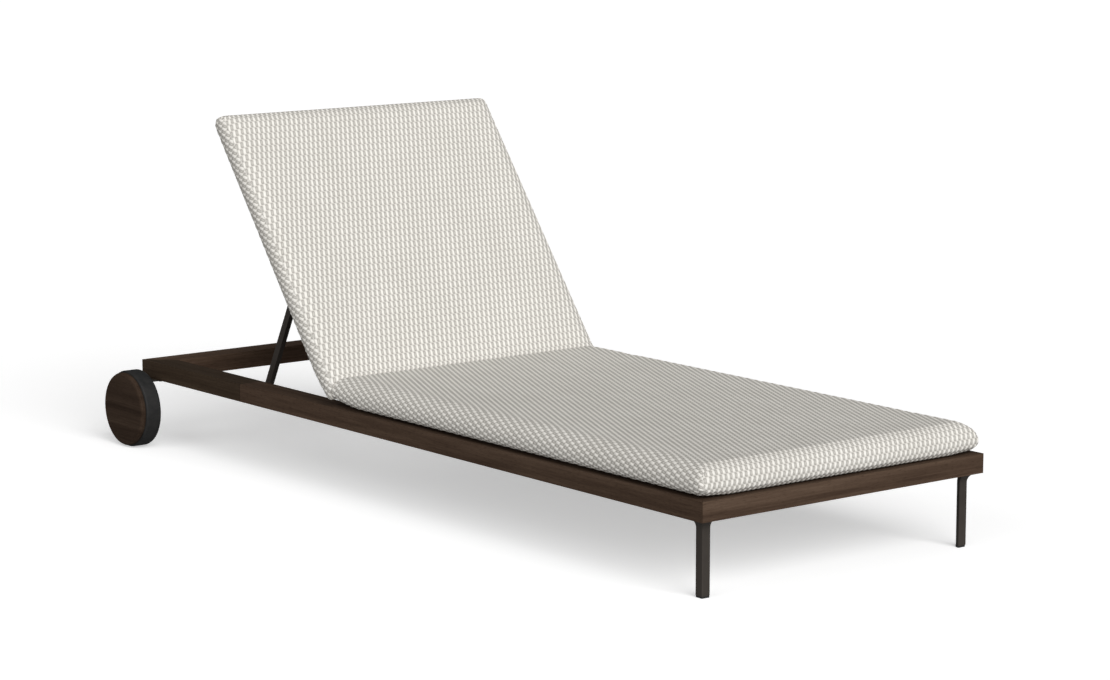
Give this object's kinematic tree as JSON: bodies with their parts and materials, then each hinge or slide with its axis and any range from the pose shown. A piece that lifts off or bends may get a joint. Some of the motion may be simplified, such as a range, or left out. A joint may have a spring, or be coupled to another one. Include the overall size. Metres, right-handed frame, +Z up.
{
  "type": "reclining sun lounger",
  "caption": "Low reclining sun lounger: mitred wooden frame on two metal legs and two wheels, woven seat pad, and a woven backrest held up by two prop arms in toothed racks.",
  "frame": {"origin": "on the floor, at the centre of the footprint's bounding box", "axes": "+X is the width, towards the right side as seen from the foot end; +Y runs from the foot end to the head end; +Z is up"},
  "size_m": [0.945, 2.151, 0.8292],
  "materials": {
    "frame_wood": "dark stained, satin, grain along each rail",
    "wheel_wood": "dark stained, satin",
    "dark_metal": "dark bronze powder coat",
    "fastener_steel": "plain",
    "tyre_rubber": "matt black rubber",
    "dark_plastic": "matt",
    "woven_fabric": "chunky off-white woven outdoor cord"
  },
  "bodies": {
    "base": {"foot_rail": "frame_wood", "head_rail": "frame_wood", "hinge_cross_rail": "frame_wood", "seat_slat_1": "frame_wood", "seat_slat_2": "frame_wood", "seat_slat_3": "frame_wood", "seat_slat_4": "frame_wood", "seat_pad": "woven_fabric", "side_rail_left": "frame_wood", "ledger_left": "frame_wood", "leg_left": "dark_metal", "leg_glide_left": "dark_plastic", "leg_screw_foot_left": "fastener_steel", "leg_screw_side_left": "fastener_steel", "wheel_bracket_left": "dark_metal", "axle_left": "fastener_steel", "axle_nut_left": "fastener_steel", "axle_retainer_left": "fastener_steel", "hinge_plate_left": "dark_metal", "hinge_pin_left": "fastener_steel", "rack_left": "dark_metal", "bracket_screw_1_left": "fastener_steel", "bracket_screw_2_left": "fastener_steel", "side_rail_right": "frame_wood", "ledger_right": "frame_wood", "leg_right": "dark_metal", "leg_glide_right": "dark_plastic", "leg_screw_foot_right": "fastener_steel", "leg_screw_side_right": "fastener_steel", "wheel_bracket_right": "dark_metal", "axle_right": "fastener_steel", "axle_nut_right": "fastener_steel", "axle_retainer_right": "fastener_steel", "hinge_plate_right": "dark_metal", "hinge_pin_right": "fastener_steel", "rack_right": "dark_metal", "bracket_screw_1_right": "fastener_steel", "bracket_screw_2_right": "fastener_steel"},
    "back": {"back_pad": "woven_fabric", "back_bottom_rail": "dark_metal", "back_top_rail": "dark_metal", "back_slat_1": "dark_metal", "back_slat_2": "dark_metal", "back_slat_3": "dark_metal", "back_stile_left": "dark_metal", "back_stile_right": "dark_metal", "prop_bolt_left": "fastener_steel", "prop_bolt_right": "fastener_steel"},
    "prop_left": {"prop_arm_left": "dark_metal", "prop_pin_left": "fastener_steel"},
    "prop_right": {"prop_arm_right": "dark_metal", "prop_pin_right": "fastener_steel"},
    "wheel_left": {"hub_bush_left": "dark_plastic", "wheel_core_left": "dark_plastic", "wheel_face_left": "wheel_wood", "tyre_left": "tyre_rubber"},
    "wheel_right": {"hub_bush_right": "dark_plastic", "wheel_core_right": "dark_plastic", "wheel_face_right": "wheel_wood", "tyre_right": "tyre_rubber"}
  },
  "joints": [
    {"name": "back_recline", "type": "hinge", "parent": "base", "child": "back", "pos_m": [0, 0.246, 0.1932], "axis": [1, 0, 0], "range_deg": [-52.7, 0]},
    {"name": "prop_left_fold", "type": "hinge", "parent": "back", "child": "prop_left", "pos_m": [-0.312, 0.44476, 0.45411], "axis": [1, 0, 0], "range_deg": [0, 116]},
    {"name": "prop_right_fold", "type": "hinge", "parent": "back", "child": "prop_right", "pos_m": [0.312, 0.44476, 0.45411], "axis": [1, 0, 0], "range_deg": [0, 116]},
    {"name": "wheel_left_spin", "type": "hinge", "parent": "base", "child": "wheel_left", "pos_m": [-0.44575, 0.9825, 0.093], "axis": [1, 0, 0], "continuous": true},
    {"name": "wheel_right_spin", "type": "hinge", "parent": "base", "child": "wheel_right", "pos_m": [0.44575, 0.9825, 0.093], "axis": [1, 0, 0], "continuous": true}
  ],
  "couplings": [
    {"joint": "prop_left_fold", "follows": "back_recline", "ratio": -2.19},
    {"joint": "prop_right_fold", "follows": "back_recline", "ratio": -2.19}
  ]
}
